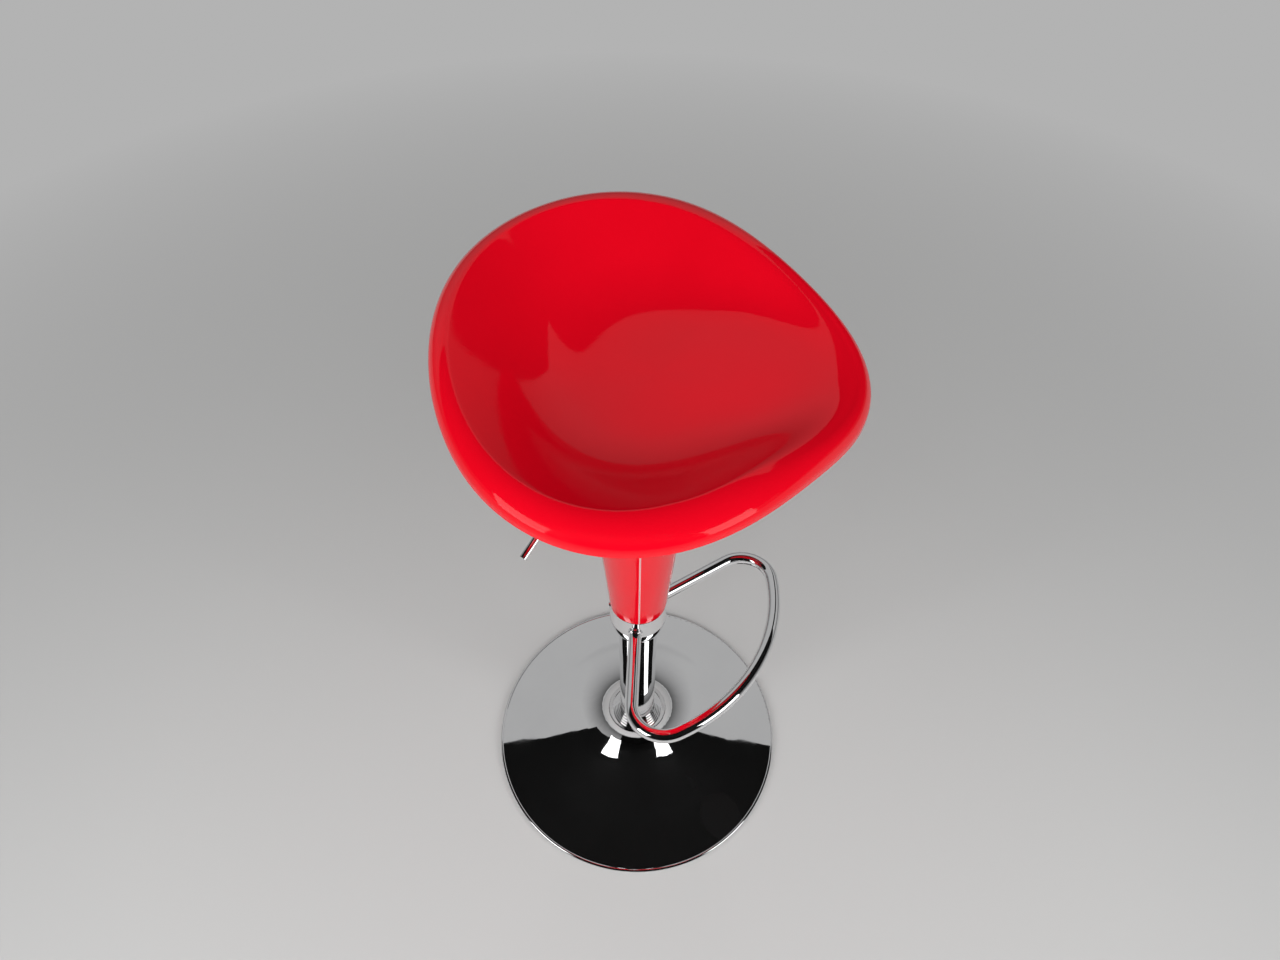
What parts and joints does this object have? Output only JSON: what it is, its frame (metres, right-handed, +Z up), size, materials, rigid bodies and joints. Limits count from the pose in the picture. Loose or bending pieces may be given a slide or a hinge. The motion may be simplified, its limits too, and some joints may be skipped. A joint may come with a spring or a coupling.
{
  "type": "bar stool",
  "caption": "Swivel bar stool with a glossy scooped seat on a tapered stem, height-adjusting column, tube footrest loop and round trumpet base.",
  "frame": {"origin": "centre of the base on the floor", "axes": "+Z up along the column, -Y towards the front of the seat, +X towards the sitter's left"},
  "size_m": [0.413, 0.41, 0.8286],
  "materials": {
    "chrome": "mirror-bright chrome plating",
    "red_plastic": "high-gloss moulded plastic",
    "steel": "plain zinc-bright steel",
    "black_paint": "satin black paint",
    "nylon": "plain black nylon",
    "rubber": "matt black rubber"
  },
  "bodies": {
    "base": {"base_dish": "chrome", "base_plate": "steel", "floor_ring": "rubber", "base_hub": "steel", "column_ring": "chrome", "column_tube": "chrome", "column_floor": "steel", "guide_bush": "nylon", "lower_race": "steel", "bearing_balls": "steel", "bearing_cage": "nylon"},
    "rod": {"upper_race": "steel", "piston_rod": "steel", "rod_washer": "steel", "rod_clip": "steel", "piston": "nylon"},
    "seat": {"gas_cylinder": "black_paint", "rod_guide": "nylon", "cylinder_head": "steel", "taper_socket": "black_paint", "seat_plate": "black_paint", "plate_screws": "steel", "lever_bracket": "black_paint", "lever_pin": "steel", "seat_top": "red_plastic", "under_front": "red_plastic", "under_rear": "red_plastic", "collar_cup": "chrome", "collar_bush": "nylon", "collar_screws": "chrome", "footrest_loop": "chrome", "footrest_welds": "chrome"},
    "lever": {"lever_rod": "chrome"},
    "valve": {"valve_pin": "steel"}
  },
  "joints": [
    {"name": "swivel", "type": "hinge", "parent": "base", "child": "rod", "pos_m": [0, 0, 0.0295], "axis": [0, 0, 1], "continuous": true},
    {"name": "height", "type": "slide", "parent": "rod", "child": "seat", "axis": [0, 0, 1], "range_m": [-0.2, 0]},
    {"name": "lever_pivot", "type": "hinge", "parent": "seat", "child": "lever", "pos_m": [-0.02424, 0.01768, 0.701], "axis": [0.5892, 0.808, 0], "range_deg": [0, 4], "stiffness_Nm_per_rad": 1},
    {"name": "valve_press", "type": "slide", "parent": "seat", "child": "valve", "axis": [0, 0, -1], "range_m": [0, 0.0022]}
  ],
  "couplings": [
    {"joint": "valve_press", "follows": "lever_pivot", "m_per_rad": 0.03}
  ]
}
